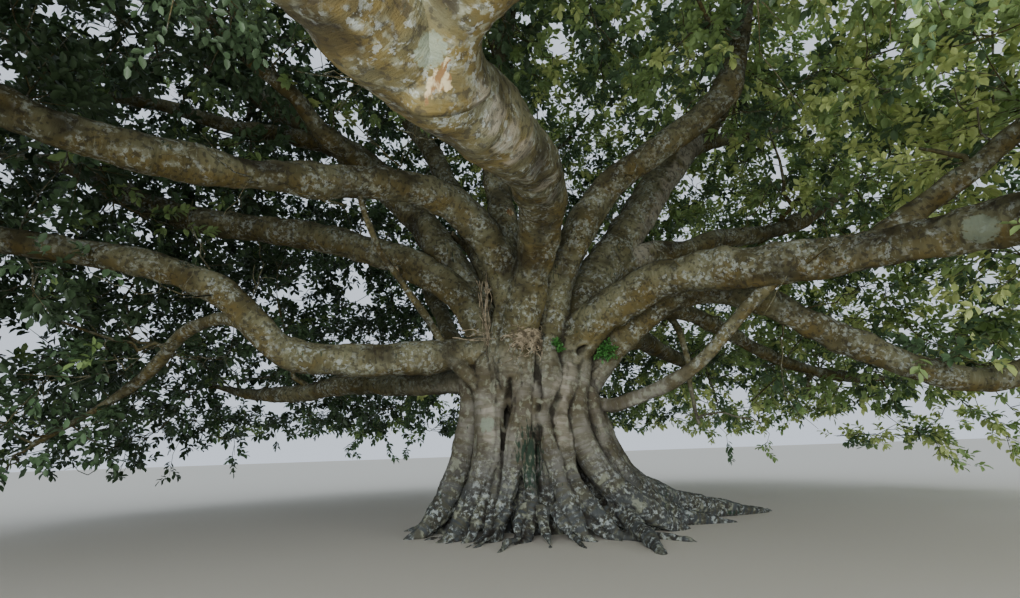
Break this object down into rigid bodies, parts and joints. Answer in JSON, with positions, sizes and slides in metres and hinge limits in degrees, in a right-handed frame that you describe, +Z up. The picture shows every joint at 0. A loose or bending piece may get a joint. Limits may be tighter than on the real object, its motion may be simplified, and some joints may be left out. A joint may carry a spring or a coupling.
{
  "type": "banyan tree",
  "caption": "Very large old banyan tree: fluted trunk on toe-like buttress roots, long level boughs and a wide domed leafy crown, cut flat at the ground to stand outdoors.",
  "frame": {"origin": "middle of the flat cut under the trunk, at ground level, on the trunk's axis", "axes": "+Z up, -Y to the front of the tree where the picture was taken, +X to its right-hand side"},
  "size_m": [28.7521, 28.1138, 15.8973],
  "materials": {
    "bark": "rough grey-brown bark, mottled with pale lichen",
    "foliage": "leathery dark green leaves"
  },
  "bodies": {
    "root": {"trunk": "bark", "bough_great_right": "bark", "bough_great_right_fork": "bark", "bough_slim_right": "bark", "bough_arching_right": "bark", "bough_rear_right": "bark", "bough_right_up_rear": "bark", "bough_right_rear": "bark", "bough_right_rear_high": "bark", "bough_right_up_front": "bark", "bough_front": "bark", "bough_front_fork": "bark", "bough_front_right_mid": "bark", "bough_front_left_mid": "bark", "bough_front_up": "bark", "bough_long_left": "bark", "bough_low_left": "bark", "bough_drooping_left": "bark", "bough_level_left": "bark", "bough_back_left": "bark", "bough_high_left": "bark", "bough_high_left_fork": "bark", "bough_left_mid": "bark", "bough_rear_up": "bark", "bough_leader": "bark", "bough_back_up": "bark", "bough_back_right": "bark", "bough_back_right_mid": "bark", "bough_back": "bark", "bough_back_far_left": "bark", "bough_back_left_mid": "bark", "leaves_great_right": "foliage", "leaves_great_right_fork": "foliage", "leaves_arching_right": "foliage", "leaves_rear_right": "foliage", "leaves_right_up_rear": "foliage", "leaves_right_rear": "foliage", "leaves_right_rear_high": "foliage", "leaves_right_up_front": "foliage", "leaves_front": "foliage", "leaves_front_fork": "foliage", "leaves_front_right_mid": "foliage", "leaves_front_left_mid": "foliage", "leaves_front_up": "foliage", "leaves_long_left": "foliage", "leaves_low_left": "foliage", "leaves_drooping_left": "foliage", "leaves_level_left": "foliage", "leaves_back_left": "foliage", "leaves_high_left": "foliage", "leaves_high_left_fork": "foliage", "leaves_left_mid": "foliage", "leaves_rear_up": "foliage", "leaves_leader": "foliage", "leaves_back_up": "foliage", "leaves_back_right": "foliage", "leaves_back_right_mid": "foliage", "leaves_back": "foliage", "leaves_back_far_left": "foliage", "leaves_back_left_mid": "foliage"}
  },
  "joints": []
}
